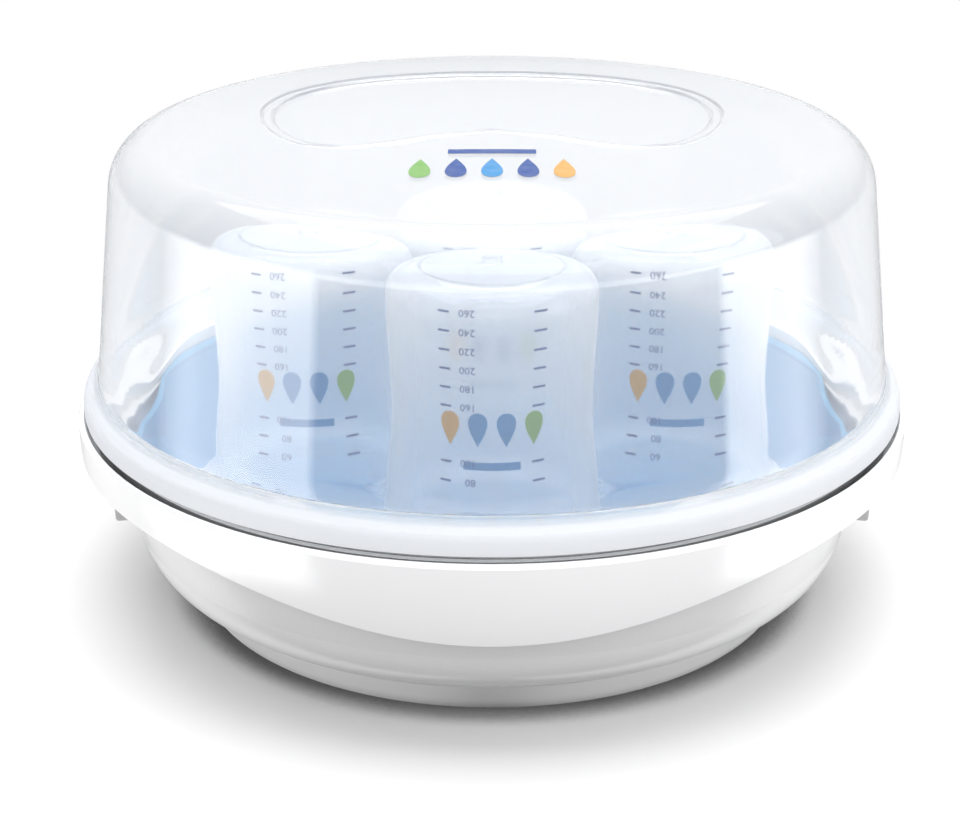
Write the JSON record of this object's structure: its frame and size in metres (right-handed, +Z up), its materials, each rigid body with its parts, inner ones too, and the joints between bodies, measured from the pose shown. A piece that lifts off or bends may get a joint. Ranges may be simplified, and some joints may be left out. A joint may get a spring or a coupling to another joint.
{
  "type": "bottle sterilizer",
  "caption": "Round microwave steam sterilizer for feeding bottles: water bowl with cool skirt, lift-out slotted tray, clear domed lid, and bottles standing mouth-down inside.",
  "frame": {"origin": "centre of the foot ring on the table, which is also the bottom centre of the bounding box", "axes": "+Z up; -Y is the front, the side the graduations face; +X to the right seen from the front, through one side grip"},
  "size_m": [0.2828, 0.2828, 0.1661],
  "materials": {
    "white_plastic": "satin moulded polypropylene",
    "blue_plastic": "translucent blue polypropylene",
    "clear_lid": "clear gloss polypropylene",
    "clear_bottle": "clear gloss polypropylene with blue graduations"
  },
  "bodies": {
    "base": {"water_bowl": "white_plastic", "rim_skirt": "white_plastic", "side_grip_left": "white_plastic", "side_grip_right": "white_plastic"},
    "tray": {"tray": "blue_plastic"},
    "lid": {"lid": "clear_lid"},
    "bottle_left": {"bottle_left": "clear_bottle"},
    "bottle_right": {"bottle_right": "clear_bottle"},
    "bottle_front": {"bottle_front": "clear_bottle"},
    "bottle_back": {"bottle_back": "clear_bottle"}
  },
  "joints": [
    {"name": "lid_lift", "type": "slide", "parent": "base", "child": "lid", "axis": [0, 0, 1], "range_m": [0, 0.24]},
    {"name": "tray_lift", "type": "slide", "parent": "base", "child": "tray", "axis": [0, 0, 1], "range_m": [0, 0.072]},
    {"name": "bottle_left_lift", "type": "slide", "parent": "tray", "child": "bottle_left", "axis": [0, 0, 1], "range_m": [0, 0.072]},
    {"name": "bottle_right_lift", "type": "slide", "parent": "tray", "child": "bottle_right", "axis": [0, 0, 1], "range_m": [0, 0.072]},
    {"name": "bottle_front_lift", "type": "slide", "parent": "tray", "child": "bottle_front", "axis": [0, 0, 1], "range_m": [0, 0.072]},
    {"name": "bottle_back_lift", "type": "slide", "parent": "tray", "child": "bottle_back", "axis": [0, 0, 1], "range_m": [0, 0.072]}
  ],
  "couplings": [
    {"joint": "tray_lift", "follows": "lid_lift", "ratio": 0.3},
    {"joint": "bottle_left_lift", "follows": "lid_lift", "ratio": 0.3},
    {"joint": "bottle_right_lift", "follows": "lid_lift", "ratio": 0.3},
    {"joint": "bottle_front_lift", "follows": "lid_lift", "ratio": 0.3},
    {"joint": "bottle_back_lift", "follows": "lid_lift", "ratio": 0.3}
  ]
}
